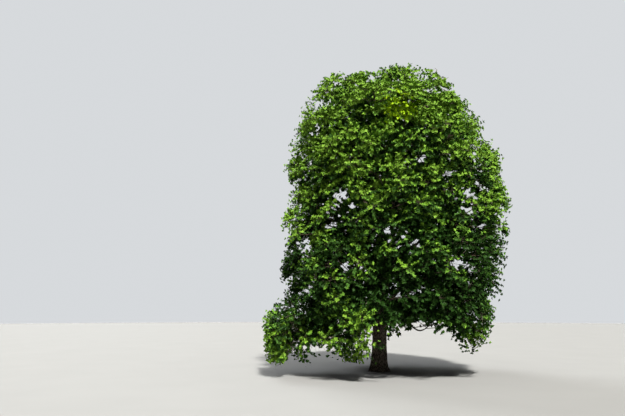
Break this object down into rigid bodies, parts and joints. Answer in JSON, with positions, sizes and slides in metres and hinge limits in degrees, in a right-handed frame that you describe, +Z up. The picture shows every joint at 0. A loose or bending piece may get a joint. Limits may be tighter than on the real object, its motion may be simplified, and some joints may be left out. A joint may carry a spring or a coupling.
{
  "type": "hawthorn tree",
  "caption": "Round-headed hawthorn tree in full summer leaf, with a short trunk, spreading boughs, and low foliage that sweeps out to one side.",
  "frame": {"origin": "middle of the flat cut under the trunk, at ground level", "axes": "+Z up the trunk, +X to the right and +Y away as the tree is seen in the picture"},
  "size_m": [7.2071, 6.5676, 9.0785],
  "materials": {
    "bark": "matte",
    "leaves": "satin"
  },
  "bodies": {
    "root": {"trunk": "bark", "bough_top": "bark", "foliage_top": "leaves", "bough_shoulder_1": "bark", "foliage_shoulder_1": "leaves", "bough_shoulder_2": "bark", "foliage_shoulder_2": "leaves", "bough_shoulder_3": "bark", "foliage_shoulder_3": "leaves", "bough_shoulder_4": "bark", "foliage_shoulder_4": "leaves", "bough_shoulder_5": "bark", "foliage_shoulder_5": "leaves", "bough_upper_1": "bark", "foliage_upper_1": "leaves", "bough_upper_2": "bark", "foliage_upper_2": "leaves", "bough_upper_3": "bark", "foliage_upper_3": "leaves", "bough_upper_4": "bark", "foliage_upper_4": "leaves", "bough_upper_5": "bark", "foliage_upper_5": "leaves", "bough_upper_6": "bark", "foliage_upper_6": "leaves", "bough_middle_1": "bark", "foliage_middle_1": "leaves", "bough_middle_2": "bark", "foliage_middle_2": "leaves", "bough_middle_3": "bark", "foliage_middle_3": "leaves", "bough_middle_4": "bark", "foliage_middle_4": "leaves", "bough_middle_5": "bark", "foliage_middle_5": "leaves", "bough_middle_6": "bark", "foliage_middle_6": "leaves", "bough_lower_1": "bark", "foliage_lower_1": "leaves", "bough_lower_2": "bark", "foliage_lower_2": "leaves", "bough_lower_3": "bark", "foliage_lower_3": "leaves", "bough_lower_4": "bark", "foliage_lower_4": "leaves", "bough_lower_5": "bark", "foliage_lower_5": "leaves", "bough_lower_6": "bark", "foliage_lower_6": "leaves", "bough_skirt_1": "bark", "foliage_skirt_1": "leaves", "bough_skirt_2": "bark", "foliage_skirt_2": "leaves", "bough_skirt_3": "bark", "foliage_skirt_3": "leaves", "bough_skirt_4": "bark", "foliage_skirt_4": "leaves", "bough_skirt_5": "bark", "foliage_skirt_5": "leaves"}
  },
  "joints": []
}
